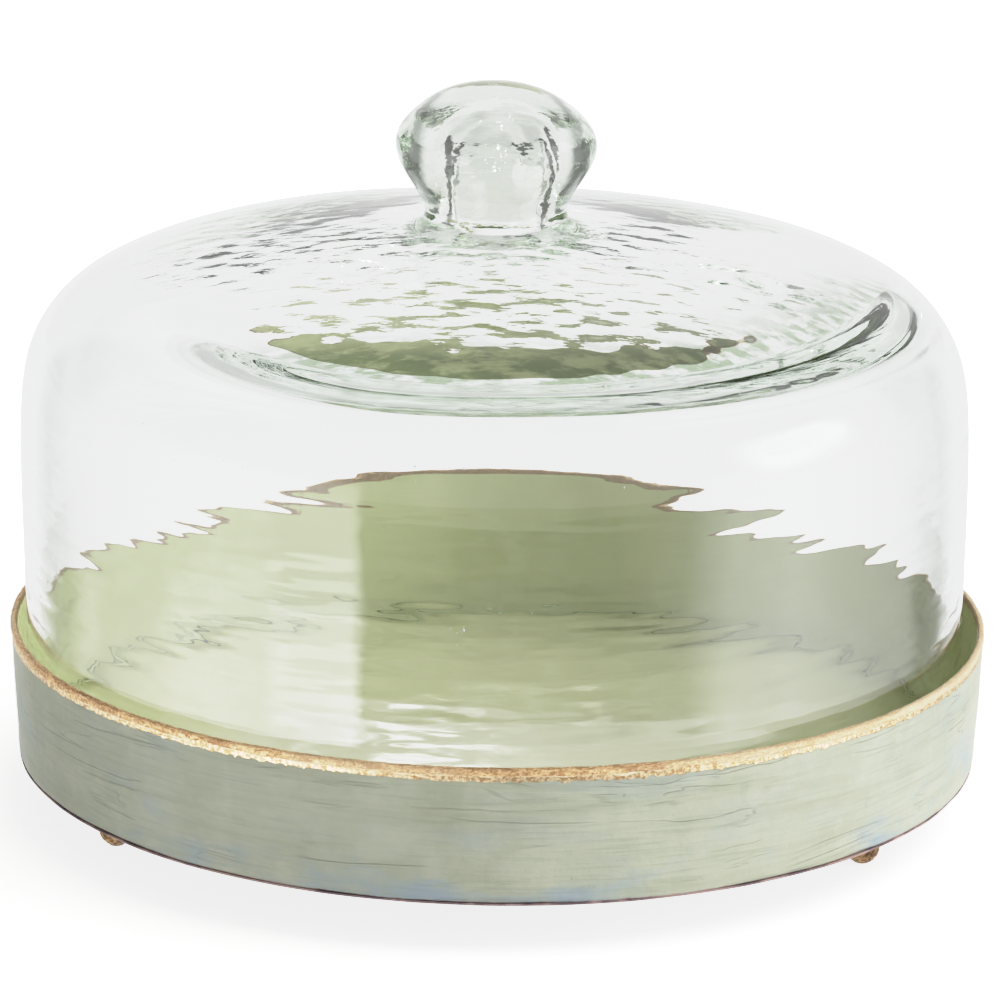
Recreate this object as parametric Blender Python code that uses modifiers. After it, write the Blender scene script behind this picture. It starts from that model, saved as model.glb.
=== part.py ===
"""Glass cloche: a blown glass bell with a solid glass knob, standing in a shallow enamelled metal
tray on three ball feet. Blender 4.5, metres, +Z up. The origin is on the bell's axis, in the plane
the feet stand on. -Y is the front, midway between the two front feet, and +X is the right."""

import math

import bpy

MM = 0.001
GAP = 0.3 * MM                # clearance left where one piece rests on another

# Facets round the turned pieces
SEGMENTS = 60
KNOB_SEGMENTS = 40
FOOT_SEGMENTS = 20

# ---------------------------------------------------------------- tray
BASE_Z = 14.8 * MM            # underside of the base disc
BASE_T = 1.5 * MM
BASE_R = 148.5 * MM
BASE_TOP_EASE = 0.4 * MM      # width and height of the eased top edge
BASE_BEVEL_W = 0.8 * MM       # bevel round the bottom edge
BASE_BEVEL_H = 0.6 * MM
BASE_EDGE_TAPER = 0.1 * MM    # how far the edge draws in from the top ease to the bevel
REST_Z = BASE_Z + BASE_T + GAP    # where the wall and the bell stand on the base

RIM_TOP_Z = BASE_Z + 41.6 * MM
RIM_H = 2.4 * MM
RIM_R_OUT = 150.1 * MM
RIM_R_IN = 147.8 * MM
RIM_SIDES = 8

WALL_T = 1.9 * MM             # sheet and enamel together
WALL_R_BOTTOM = 148.2 * MM
WALL_R_TOP = 149.8 * MM
WALL_BULGE = 0.05 * MM        # how far the middle stands out from a straight slope
WALL_BEVEL_W = 0.35 * MM      # bevel on the outer bottom edge
WALL_BEVEL_H = 1.2 * MM

# ---------------------------------------------------------------- ball feet
FOOT_BALL_R = 5.4 * MM
FOOT_FLAT_R = 2.2 * MM        # small flat filed on the ball, so that it stands without rocking
FOOT_NECK_R = 2.7 * MM        # neck where it meets the ball
FOOT_WAIST_R = FOOT_NECK_R - 0.2 * MM
FOOT_FLARE_R = FOOT_NECK_R + 0.3 * MM    # neck just under the collar
FOOT_FLARE_DROP = 0.4 * MM    # from the collar's underside to the flare
FOOT_COLLAR_R = 4.3 * MM      # collar brazed to the underside of the base
FOOT_COLLAR_H = 1.2 * MM
FOOT_COLLAR_EASE = 0.3 * MM   # eased top edge of the collar
FOOT_COLLAR_TAPER = 0.2 * MM  # how far the collar draws in towards its underside
FOOT_BALL_STEPS = 7           # from the neck down to the flat
FOOT_BALL_INSET = 0.04        # radians from the neck circle to the ball's first point
FOOT_PITCH_R = 128.8 * MM
FOOT_ANGLES = {               # degrees anticlockwise from +X, seen from above
    "ball_foot_front_right": -30.0,
    "ball_foot_rear": 90.0,
    "ball_foot_front_left": 210.0,
}

# ---------------------------------------------------------------- bell and knob
GLASS_T = 4.0 * MM            # wall of the bell
GLASS_T_CROWN = 5.5 * MM      # the crown is thicker, under the knob
CROWN_FADE_R = 60 * MM        # radius at which the extra thickness has run out

LIP_BEVEL_W = 1.1 * MM        # total draw-in from the wall's face to the foot of the lip
LIP_BEVEL_H = 1.3 * MM
LIP_STEP = 0.1 * MM           # part of that draw-in reached at the top of the bevel

# Outside of the bell, crown to just above the lip: radius, height above BASE_Z (mm)
BELL_KNOTS = [
    (0.0, 165.2), (22.0, 164.2), (50.0, 161.2), (75.0, 158.2), (95.0, 155.1),
    (110.0, 151.6), (122.0, 147.0), (131.0, 141.2), (138.0, 132.7), (142.5, 121.6),
    (144.6, 104.5), (144.7, 85.0), (144.2, 50.0), (144.6, 20.0), (145.1, 4.5),
]
BELL_SAMPLES = 21

# Knob, top to the edge of its foot: radius, height above BASE_Z (mm)
KNOB_KNOTS = [
    (0.0, 207.4), (9.0, 206.2), (16.8, 203.2), (22.6, 199.6), (27.3, 195.4),
    (29.9, 190.6), (30.2, 186.8), (28.9, 182.4), (26.8, 178.6), (24.2, 174.4),
    (22.3, 169.9), (21.7, 166.5), (22.2, 164.9),
]
KNOB_SAMPLES = 18
# Underside of the knob, inwards to the axis, following the crown: same columns
KNOB_UNDERSIDE = [(14.0, 165.4), (0.0, 165.9)]


# ---------------------------------------------------------------- helpers
def clear_scene():
    for obj in list(bpy.data.objects):
        bpy.data.objects.remove(obj, do_unlink=True)
    for group in list(bpy.data.collections):
        bpy.data.collections.remove(group)


def material(name, colour, roughness, metallic=0.0, transmission=0.0, alpha=1.0, ior=1.5):
    made = bpy.data.materials.new(name)
    made.use_nodes = True
    inputs = made.node_tree.nodes["Principled BSDF"].inputs
    inputs["Base Color"].default_value = (*colour, 1.0)
    inputs["Roughness"].default_value = roughness
    inputs["Metallic"].default_value = metallic
    inputs["Transmission Weight"].default_value = transmission
    inputs["Alpha"].default_value = alpha
    inputs["IOR"].default_value = ior
    made.diffuse_color = (*colour, alpha)
    return made


def frame(name, group):
    """An empty at the origin that carries the pieces of one part."""
    empty = bpy.data.objects.new(name, None)
    group.objects.link(empty)
    return empty


def turned(name, section, finish, parent, group, segments=SEGMENTS, closed=False,
           at=(0.0, 0.0, 0.0)):
    """A turned piece: its half section (radius, height) in the XZ plane, swept about Z by a Screw.
    An open section starts and ends on the axis; a closed one joins its last point to its first."""
    edges = [(i, i + 1) for i in range(len(section) - 1)]
    if closed:
        edges.append((len(section) - 1, 0))
    mesh = bpy.data.meshes.new(name)
    mesh.from_pydata([(r, 0.0, z) for r, z in section], edges, [])
    mesh.materials.append(finish)
    obj = bpy.data.objects.new(name, mesh)
    group.objects.link(obj)
    obj.parent = parent
    obj.location = at
    screw = obj.modifiers.new("Screw", "SCREW")
    screw.axis = "Z"
    screw.angle = math.tau
    screw.steps = segments
    screw.render_steps = segments
    screw.use_merge_vertices = True
    screw.merge_threshold = 0.01 * MM
    screw.use_smooth_shade = True


def above_base(table):
    """Table rows in mm above BASE_Z, as section points in metres."""
    return [(radius * MM, BASE_Z + height * MM) for radius, height in table]


def catmull_rom(before, start, end, after, t):
    """Value at t (0 to 1) between start and end, for one coordinate of four knots in a row."""
    return 0.5 * (2 * start
                  + (end - before) * t
                  + (2 * before - 5 * start + 4 * end - after) * t ** 2
                  + (3 * start - before - 3 * end + after) * t ** 3)


def smooth_curve(knots, samples):
    """Points along a Catmull-Rom curve through the knots, evenly spread by chord length."""
    chord = [0.0]
    for start, end in zip(knots, knots[1:]):
        chord.append(chord[-1] + math.dist(start, end))
    last = len(knots) - 1
    points = []
    for k in range(samples):
        along = chord[-1] * k / (samples - 1)
        i = max(j for j in range(last) if chord[j] <= along + 1e-12)
        t = (along - chord[i]) / (chord[i + 1] - chord[i])
        nearby = (knots[max(0, i - 1)], knots[i], knots[i + 1], knots[min(last, i + 2)])
        points.append(tuple(catmull_rom(*values, t) for values in zip(*nearby)))
    return points


# ---------------------------------------------------------------- half sections
# Each runs down the outer side from the top, along the bottom, and back up any inner side.
def base_section():
    """A flat disc with its edge eased."""
    top = BASE_Z + BASE_T
    return [
        (0.0, top),
        (BASE_R - BASE_TOP_EASE, top),
        (BASE_R, top - BASE_TOP_EASE),
        (BASE_R - BASE_EDGE_TAPER, BASE_Z + BASE_BEVEL_H),
        (BASE_R - BASE_BEVEL_W, BASE_Z),
        (0.0, BASE_Z),
    ]


def wall_section():
    """A thin wall that leans slightly outwards, from the base up to the rim."""
    top = RIM_TOP_Z - RIM_H - GAP
    middle_z = (REST_Z + top) / 2
    middle_r = (WALL_R_BOTTOM + WALL_R_TOP) / 2 + WALL_BULGE
    return [
        (WALL_R_TOP, top),
        (middle_r, middle_z),
        (WALL_R_BOTTOM, REST_Z + WALL_BEVEL_H),
        (WALL_R_BOTTOM - WALL_BEVEL_W, REST_Z),
        (WALL_R_BOTTOM - WALL_T, REST_Z),
        (middle_r - WALL_T, middle_z),
        (WALL_R_TOP - WALL_T, top),
    ]


def rim_section():
    """A flattened bead that caps the cut edge of the wall."""
    centre_r = (RIM_R_OUT + RIM_R_IN) / 2
    centre_z = RIM_TOP_Z - RIM_H / 2
    # Corners lie outside the inscribed ellipse, so that the flats reach the full size.
    corner = 1 / math.cos(math.pi / RIM_SIDES)
    half_width = (RIM_R_OUT - RIM_R_IN) / 2 * corner
    half_height = RIM_H / 2 * corner
    points = []
    for k in range(RIM_SIDES):
        angle = math.pi / 2 - math.tau * (k + 0.5) / RIM_SIDES
        points.append((centre_r + half_width * math.cos(angle),
                       centre_z + half_height * math.sin(angle)))
    return points


def foot_section():
    """Collar, waist, ball and the small flat it stands on."""
    top = BASE_Z - GAP
    collar_z = top - FOOT_COLLAR_H
    ball_z = math.sqrt(FOOT_BALL_R ** 2 - FOOT_FLAT_R ** 2)
    # Angles on the ball are measured from its top.
    neck_angle = math.asin(FOOT_NECK_R / FOOT_BALL_R)
    neck_z = ball_z + FOOT_BALL_R * math.cos(neck_angle)
    first = neck_angle + FOOT_BALL_INSET
    last = math.pi - math.asin(FOOT_FLAT_R / FOOT_BALL_R)
    points = [
        (0.0, top),
        (FOOT_COLLAR_R - FOOT_COLLAR_EASE, top),
        (FOOT_COLLAR_R, top - FOOT_COLLAR_EASE),
        (FOOT_COLLAR_R - FOOT_COLLAR_TAPER, collar_z),
        (FOOT_FLARE_R, collar_z - FOOT_FLARE_DROP),
        (FOOT_WAIST_R, (collar_z + neck_z) / 2),
    ]
    for k in range(FOOT_BALL_STEPS):
        angle = first + (last - first) * k / FOOT_BALL_STEPS
        points.append((FOOT_BALL_R * math.sin(angle), ball_z + FOOT_BALL_R * math.cos(angle)))
    return points + [(FOOT_FLAT_R, 0.0), (0.0, 0.0)]


def bell_inside(outside):
    """The outside moved inwards along its normal by the glass thickness, from lip to crown."""
    points = [(0.0, outside[0][1] - GLASS_T_CROWN)]
    last = len(outside) - 1
    for i in range(1, last + 1):
        r, z = outside[i]
        before, after = outside[i - 1], outside[min(last, i + 1)]
        run, rise = after[0] - before[0], after[1] - before[1]
        crown_share = max(0.0, 1.0 - r / CROWN_FADE_R)
        offset = (GLASS_T + (GLASS_T_CROWN - GLASS_T) * crown_share) / math.hypot(run, rise)
        points.append((r + rise * offset, z - run * offset))
    return points[::-1]


def bell_section():
    outside = smooth_curve(above_base(BELL_KNOTS), BELL_SAMPLES)
    inside = bell_inside(outside)
    r_out, r_in = outside[-1][0], inside[0][0]
    lip = [
        (r_out - LIP_STEP, REST_Z + LIP_BEVEL_H),
        (r_out - LIP_BEVEL_W, REST_Z),
        (r_in + LIP_BEVEL_W, REST_Z),
        (r_in + LIP_STEP, REST_Z + LIP_BEVEL_H),
    ]
    return outside + lip + inside


def knob_section():
    """A mushroom of solid glass on a waisted neck."""
    return smooth_curve(above_base(KNOB_KNOTS), KNOB_SAMPLES) + above_base(KNOB_UNDERSIDE)


# ---------------------------------------------------------------- parts
def build_tray(group):
    enamel = material("sage_enamel", colour=(0.50, 0.54, 0.44), roughness=0.35)
    base_enamel = material("sage_enamel_base", colour=(0.45, 0.50, 0.36), roughness=0.25)
    gilt = material("gilt", colour=(0.78, 0.55, 0.28), roughness=0.45, metallic=1.0)
    brass = material("aged_brass", colour=(0.45, 0.32, 0.18), roughness=0.5, metallic=1.0)

    tray = frame("tray_frame", group)
    turned("tray_base", base_section(), base_enamel, tray, group)
    turned("tray_wall", wall_section(), enamel, tray, group, closed=True)
    turned("gilt_rim", rim_section(), gilt, tray, group, closed=True)
    for name, degrees in FOOT_ANGLES.items():
        angle = math.radians(degrees)
        place = (FOOT_PITCH_R * math.cos(angle), FOOT_PITCH_R * math.sin(angle), 0.0)
        turned(name, foot_section(), brass, tray, group, segments=FOOT_SEGMENTS, at=place)


def build_bell(group):
    """The bell and its knob, on a frame that lifts them straight up the axis."""
    glass = material("clear_glass", colour=(0.93, 0.96, 0.94), roughness=0.02,
                     transmission=1.0, alpha=0.35)
    lift = frame("bell_lift", group)
    turned("glass_bell", bell_section(), glass, lift, group)
    turned("glass_knob", knob_section(), glass, lift, group, segments=KNOB_SEGMENTS)


clear_scene()
cloche = bpy.data.collections.new("glass_cloche")
bpy.context.scene.collection.children.link(cloche)
build_tray(cloche)
build_bell(cloche)
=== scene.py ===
"""A blown glass bell with a hollow knob, on a round enamelled tray with a gilt rim and three
brass ball feet. Metres, +Z up: the feet stand on z = 0, the tray's axis is the Z axis and the
front faces -Y, with +X on the right."""
import math
from functools import cached_property

import bmesh
import bpy
import numpy as np
from mathutils import Matrix, Vector


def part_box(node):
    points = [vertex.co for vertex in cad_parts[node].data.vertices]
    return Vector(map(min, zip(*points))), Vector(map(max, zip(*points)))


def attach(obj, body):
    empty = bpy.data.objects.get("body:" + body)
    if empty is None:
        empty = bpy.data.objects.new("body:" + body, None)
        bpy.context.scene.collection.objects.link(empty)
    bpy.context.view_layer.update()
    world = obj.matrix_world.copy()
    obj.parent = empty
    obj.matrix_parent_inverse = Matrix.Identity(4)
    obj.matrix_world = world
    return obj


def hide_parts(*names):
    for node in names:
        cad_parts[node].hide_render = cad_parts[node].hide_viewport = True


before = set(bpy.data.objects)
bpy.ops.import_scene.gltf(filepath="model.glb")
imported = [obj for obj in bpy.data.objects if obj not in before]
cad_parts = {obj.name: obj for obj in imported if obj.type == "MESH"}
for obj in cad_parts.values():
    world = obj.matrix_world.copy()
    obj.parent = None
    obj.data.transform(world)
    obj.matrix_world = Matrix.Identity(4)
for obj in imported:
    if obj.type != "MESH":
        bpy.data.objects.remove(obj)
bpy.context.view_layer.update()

MM = 0.001
TAU = math.tau

# ---------------------------------------------------------------- places taken from the frame
base_low, base_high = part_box("tray_base")
rim_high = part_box("gilt_rim")[1]
BASE_Z = base_low.z                # underside of the tray
FLOOR_Z = base_high.z              # top of the tray's floor
RIM_TOP = rim_high.z
RIM_R = rim_high.x
RIM_INNER_R = RIM_R - 2.3 * MM
LIP_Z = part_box("glass_bell")[0].z  # lower edge of the bell
FEET = ("ball_foot_front_left", "ball_foot_front_right", "ball_foot_rear")


# ---------------------------------------------------------------- smooth random fields
def waves(seed, count, shortest, longest, stretch=(1.0, 1.0, 1.0)):
    """A smooth random field of points, the sum of plane waves in random directions. Its rms is 1,
    with about equal slopes at every wavelength. stretch makes it longer along an axis."""
    rng = np.random.default_rng(seed)
    way = rng.normal(size=(count, 3))
    way /= np.linalg.norm(way, axis=1)[:, None]
    length = np.exp(rng.uniform(math.log(shortest), math.log(longest), count))
    vectors = way * (TAU / length)[:, None] / np.array(stretch)
    phases = rng.uniform(0, TAU, count)
    heights = length / math.sqrt(0.5 * (length ** 2).sum())

    def field(points):
        found = np.zeros(len(points))
        for vector, phase, height in zip(vectors, phases, heights):
            found += height * np.sin(points @ vector + phase)
        return found

    return field


def smoothstep(start, end, value):
    share = np.clip((np.asarray(value, float) - start) / (end - start), 0.0, 1.0)
    return share * share * (3 - 2 * share)


def limited(move, limit):
    return np.clip(move, -limit, limit)


def in_plan(points):
    return points * [1, 1, 0]


def smooth_values(values, half, sigma):
    """Gaussian smoothing of a list, with half and sigma counted in samples."""
    weights = gaussian(np.arange(-half, half + 1) / sigma)
    return np.convolve(np.pad(values, half, "edge"), weights, "valid")


def gaussian(offsets):
    weights = np.exp(-0.5 * offsets ** 2)
    return weights / weights.sum()


# ---------------------------------------------------------------- outlines, as rows of (r, z)
def run_along(line):
    """Distance from the line's start to each of its points."""
    return np.r_[0, np.cumsum(np.linalg.norm(np.diff(line, axis=0), axis=1))]


def resampled(line, at, run):
    return np.stack([np.interp(at, run, line[:, 0]), np.interp(at, run, line[:, 1])], 1)


def between(first, second, start, end, at):
    return (end - at) / (end - start) * first + (at - start) / (end - start) * second


def spline(knots, spacing):
    """Points along a centripetal Catmull-Rom curve through the knots, about this far apart."""
    knots = np.array(knots, float)
    ends = np.vstack([2 * knots[0] - knots[1], knots, 2 * knots[-1] - knots[-2]])
    fine = []
    for i in range(1, len(ends) - 2):
        window = ends[i - 1:i + 3]
        gaps = np.linalg.norm(np.diff(window, axis=0), axis=1)
        when = np.r_[0, np.cumsum(np.maximum(gaps, 1e-9) ** 0.5)]
        for at in np.linspace(when[1], when[2], 24, endpoint=False):
            lines = [between(*window[j:j + 2], *when[j:j + 2], at) for j in range(3)]
            arcs = [between(*lines[j:j + 2], when[j], when[j + 2], at) for j in range(2)]
            fine.append(between(*arcs, when[1], when[2], at))
    fine.append(knots[-1])
    fine = np.array(fine)
    run = run_along(fine)
    count = max(2, int(round(run[-1] / spacing)) + 1)
    return resampled(fine, np.linspace(0, run[-1], count), run)


def spaced(line, gap):
    """Points along a fine line, gap(z) apart."""
    run = run_along(line)
    density = 1.0 / gap(line[:, 1])
    count = np.r_[0, np.cumsum((density[1:] + density[:-1]) / 2 * np.diff(run))]
    steps = np.linspace(0, count[-1], max(2, int(round(count[-1])) + 1))
    return resampled(line, np.interp(steps, count, run), run)


def soften(line, sigma):
    """The same curve with its small kinks taken out. Its ends stay put."""
    step = np.linalg.norm(np.diff(line, axis=0), axis=1).mean()
    half = int(3 * sigma / step)
    weights = gaussian(np.arange(-half, half + 1) * step / sigma)
    longer = np.vstack([2 * line[0] - line[half:0:-1], line,
                        2 * line[-1] - line[-2:-half - 2:-1]])
    return np.stack([np.convolve(longer[:, axis], weights, "valid") for axis in (0, 1)], 1)


# ---------------------------------------------------------------- meshes
def turned(name, profile, steps, bumps, closed=False, face_material=None, warp=None):
    """A turned body from a profile of (r, z), with the outside running down and the inside up.
    bumps(points, ring) gives how far each point moves along its normal, face_material(ring) the
    material number of a band of faces, and warp moves the finished points. Returns the object
    and the ring number of each vertex."""
    profile = np.array(profile, float)
    rings = len(profile)
    after, before = np.roll(profile, -1, 0), np.roll(profile, 1, 0)
    if not closed:
        after[-1], before[0] = profile[-1], profile[0]
    along = after - before
    along /= np.maximum(np.linalg.norm(along, axis=1), 1e-12)[:, None]
    outward = np.stack([-along[:, 1], along[:, 0]], 1)
    theta = np.arange(steps) * TAU / steps

    def spun(rows):
        return np.stack([rows[:, None, 0] * np.cos(theta), rows[:, None, 0] * np.sin(theta),
                         np.repeat(rows[:, None, 1], steps, 1)], 2).reshape(-1, 3)

    ring = np.repeat(np.arange(rings), steps)
    points = spun(profile)
    points = points + spun(outward) * bumps(points, ring)[:, None]
    # a ring on the axis becomes a single vertex
    keep = np.ones(len(points), bool)
    for i in (0, rings - 1):
        if profile[i, 0] < 1e-7:
            block = slice(i * steps, (i + 1) * steps)
            points[block] = points[block].mean(0)
            keep[i * steps + 1:(i + 1) * steps] = False
    if warp is not None:
        points = warp(points)
    number = (np.cumsum(keep) - 1).reshape(rings, steps).tolist()
    faces, face_materials = [], []
    for i in range(rings if closed else rings - 1):
        here, there = number[i], number[(i + 1) % rings]
        for k in range(steps):
            beside = (k + 1) % steps
            corners = (here[k], there[k], there[beside], here[beside])
            faces.append(tuple(dict.fromkeys(corners)))   # a triangle at a pole
            face_materials.append(face_material(i) if face_material else 0)
    mesh = bpy.data.meshes.new(name)
    mesh.from_pydata(points[keep].tolist(), [], faces)
    mesh.polygons.foreach_set("material_index", face_materials)
    mesh.polygons.foreach_set("use_smooth", [True] * len(faces))
    mesh.update()
    return linked(name, mesh), ring[keep]


def linked(name, data):
    obj = bpy.data.objects.new(name, data)
    bpy.context.scene.collection.objects.link(obj)
    return obj


def vertex_places(obj):
    return np.array([vertex.co for vertex in obj.data.vertices])


def add_attribute(obj, name, kind, values):
    attribute = obj.data.attributes.new(name, kind, "POINT")
    key = "vector" if kind == "FLOAT_VECTOR" else "value"
    attribute.data.foreach_set(key, values.astype(np.float32).ravel())


def hand_over(obj, materials, rides, replaced=(), sharp=None):
    """Give the object its materials and tell the frame about it. Edges bent by more than sharp
    degrees are shaded sharp."""
    for material in materials:
        obj.data.materials.append(material)
    if sharp is not None:
        obj.data.set_sharp_from_angle(angle=math.radians(sharp))
    if replaced:
        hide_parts(*replaced)
    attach(obj, rides)


# ---------------------------------------------------------------- shader node helpers
class NodeNet:
    """The node tree of a material or world, started empty. Lengths are in metres."""

    def __init__(self, owner):
        owner.use_nodes = True
        self.owner = owner
        self.tree = owner.node_tree
        self.tree.nodes.clear()

    def add(self, kind, inputs=None, **settings):
        node = self.tree.nodes.new(kind)
        for key, value in settings.items():
            setattr(node, key, value)
        for key, value in (inputs or {}).items():
            self.put(node.inputs[key], value)
        return node

    def put(self, socket, value):
        if isinstance(value, bpy.types.Node):
            value = value.outputs[0]
        if isinstance(value, bpy.types.NodeSocket):
            self.tree.links.new(value, socket)
        elif socket.type == "RGBA" and len(value) == 3:
            socket.default_value = (*value, 1.0)
        else:
            socket.default_value = value

    @cached_property
    def place(self):
        return self.add("ShaderNodeTexCoord").outputs["Object"]

    @cached_property
    def xyz(self):
        return self.add("ShaderNodeSeparateXYZ", {0: self.place}).outputs

    def math(self, operation, *values):
        node = self.add("ShaderNodeMath", dict(enumerate(values)), operation=operation)
        return node.outputs[0]

    def times(self, first, second):
        return self.math("MULTIPLY", first, second)

    def plus(self, first, second):
        return self.math("ADD", first, second)

    def scale(self, value, by, plus=None):
        if plus is None:
            return self.times(value, by)
        return self.math("MULTIPLY_ADD", value, by, plus)

    def vector(self, operation, *values):
        node = self.add("ShaderNodeVectorMath", dict(enumerate(values)), operation=operation)
        return node.outputs["Value" if operation == "DOT_PRODUCT" else "Vector"]

    def mix(self, factor, base, tint):
        return self.add("ShaderNodeMix", {0: factor, 6: base, 7: tint}, data_type="RGBA").outputs[2]

    def mix_shader(self, factor, first, second):
        return self.add("ShaderNodeMixShader", {0: factor, 1: first, 2: second})

    def ramp(self, value, span, to=(0.0, 1.0)):
        """A smooth step from to[0] to to[1] while the value crosses the span."""
        inputs = dict(enumerate((value, *span, *to)))
        return self.add("ShaderNodeMapRange", inputs, interpolation_type="SMOOTHSTEP").outputs[0]

    def ragged(self, value, noise, by, plus, span, to=(0.0, 1.0)):
        """A ramp about a border that wanders with the noise, at noise * by + plus."""
        border = self.scale(noise, by, plus)
        return self.ramp(self.math("SUBTRACT", value, border), span, to)

    def layer(self, base, mask, tint, span, amount=1.0):
        """The tint over the base, more of it as the mask crosses the span."""
        return self.mix(self.ramp(mask, span, (0.0, amount)), base, tint)

    def mapped(self, scale, move, vector=None):
        inputs = {"Vector": vector or self.place, "Location": move, "Scale": scale}
        return self.add("ShaderNodeMapping", inputs).outputs[0]

    def noise_at(self, vector, detail, rough, distort=0.0):
        inputs = {"Vector": vector, "Scale": 1.0, "Detail": detail, "Roughness": rough,
                  "Distortion": distort}
        return self.add("ShaderNodeTexNoise", inputs).outputs[0]

    def noise(self, size, stretch=(1, 1, 1), detail=3.0, rough=0.5, move=(0, 0, 0), distort=0.0,
              vector=None):
        """Noise whose features are about this size, times stretch along each axis."""
        scale = tuple(1 / (size * axis) for axis in stretch)
        return self.noise_at(self.mapped(scale, move, vector), detail, rough, distort)

    def bump(self, height, distance, normal=None):
        inputs = {"Strength": 1.0, "Distance": distance, "Height": height}
        if normal is not None:
            inputs["Normal"] = normal
        return self.add("ShaderNodeBump", inputs).outputs[0]

    def principled(self, **values):
        inputs = {key.replace("_", " "): value for key, value in values.items()}
        return self.add("ShaderNodeBsdfPrincipled", inputs)

    def finish(self, **values):
        """Make a principled surface the output, and return the material."""
        self.add("ShaderNodeOutputMaterial", {"Surface": self.principled(**values)})
        return self.owner


def new_material(name):
    return NodeNet(bpy.data.materials.new(name))


# ---------------------------------------------------------------- materials
def enamel_inside():
    """Glossy sage green enamel, poured on a little unevenly."""
    net = new_material("enamel_inside")
    cloud = net.noise(size=0.060)
    fine = net.noise(size=0.012, detail=4, move=(3, 1, 7))
    brush = net.noise(size=0.010, stretch=(3, 3, 0.12), move=(9, 2, 4))
    colour = net.layer(base=(0.490, 0.500, 0.275), mask=cloud, tint=(0.585, 0.590, 0.355),
                       span=(0.35, 0.65))
    colour = net.layer(colour, fine, tint=(0.64, 0.645, 0.44), span=(0.45, 0.75), amount=0.35)
    colour = net.layer(colour, brush, tint=(0.40, 0.42, 0.23), span=(0.52, 0.8), amount=0.30)
    swell = net.noise(size=0.030, detail=2, rough=0.4, move=(5, 5, 5))
    dimples = net.noise(size=0.006, detail=2, move=(1, 8, 2))
    normal = net.bump(dimples, distance=0.00006, normal=net.bump(swell, distance=0.0012))
    return net.finish(Base_Color=colour, Normal=normal, IOR=1.5,
                      Roughness=net.ramp(fine, span=(0.3, 0.7), to=(0.10, 0.22)),
                      Coat_Weight=0.55, Coat_Roughness=0.025)


def wrinkle(net, size, stretch, move, level, width, gap_move, gap_start):
    """A contour line of stretched noise at this level, broken by gaps."""
    drawn = net.noise(size, stretch, detail=2.5, move=move, distort=0.6)
    off = net.math("ABSOLUTE", net.math("SUBTRACT", drawn, level))
    gap_noise = net.noise(size=0.030, stretch=(1.4, 1.4, 0.5), detail=2, move=gap_move)
    gaps = net.ramp(gap_noise, span=(gap_start, gap_start + 0.09))
    return net.times(net.ramp(off, span=(0.0, width), to=(1, 0)), gaps)


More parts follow.
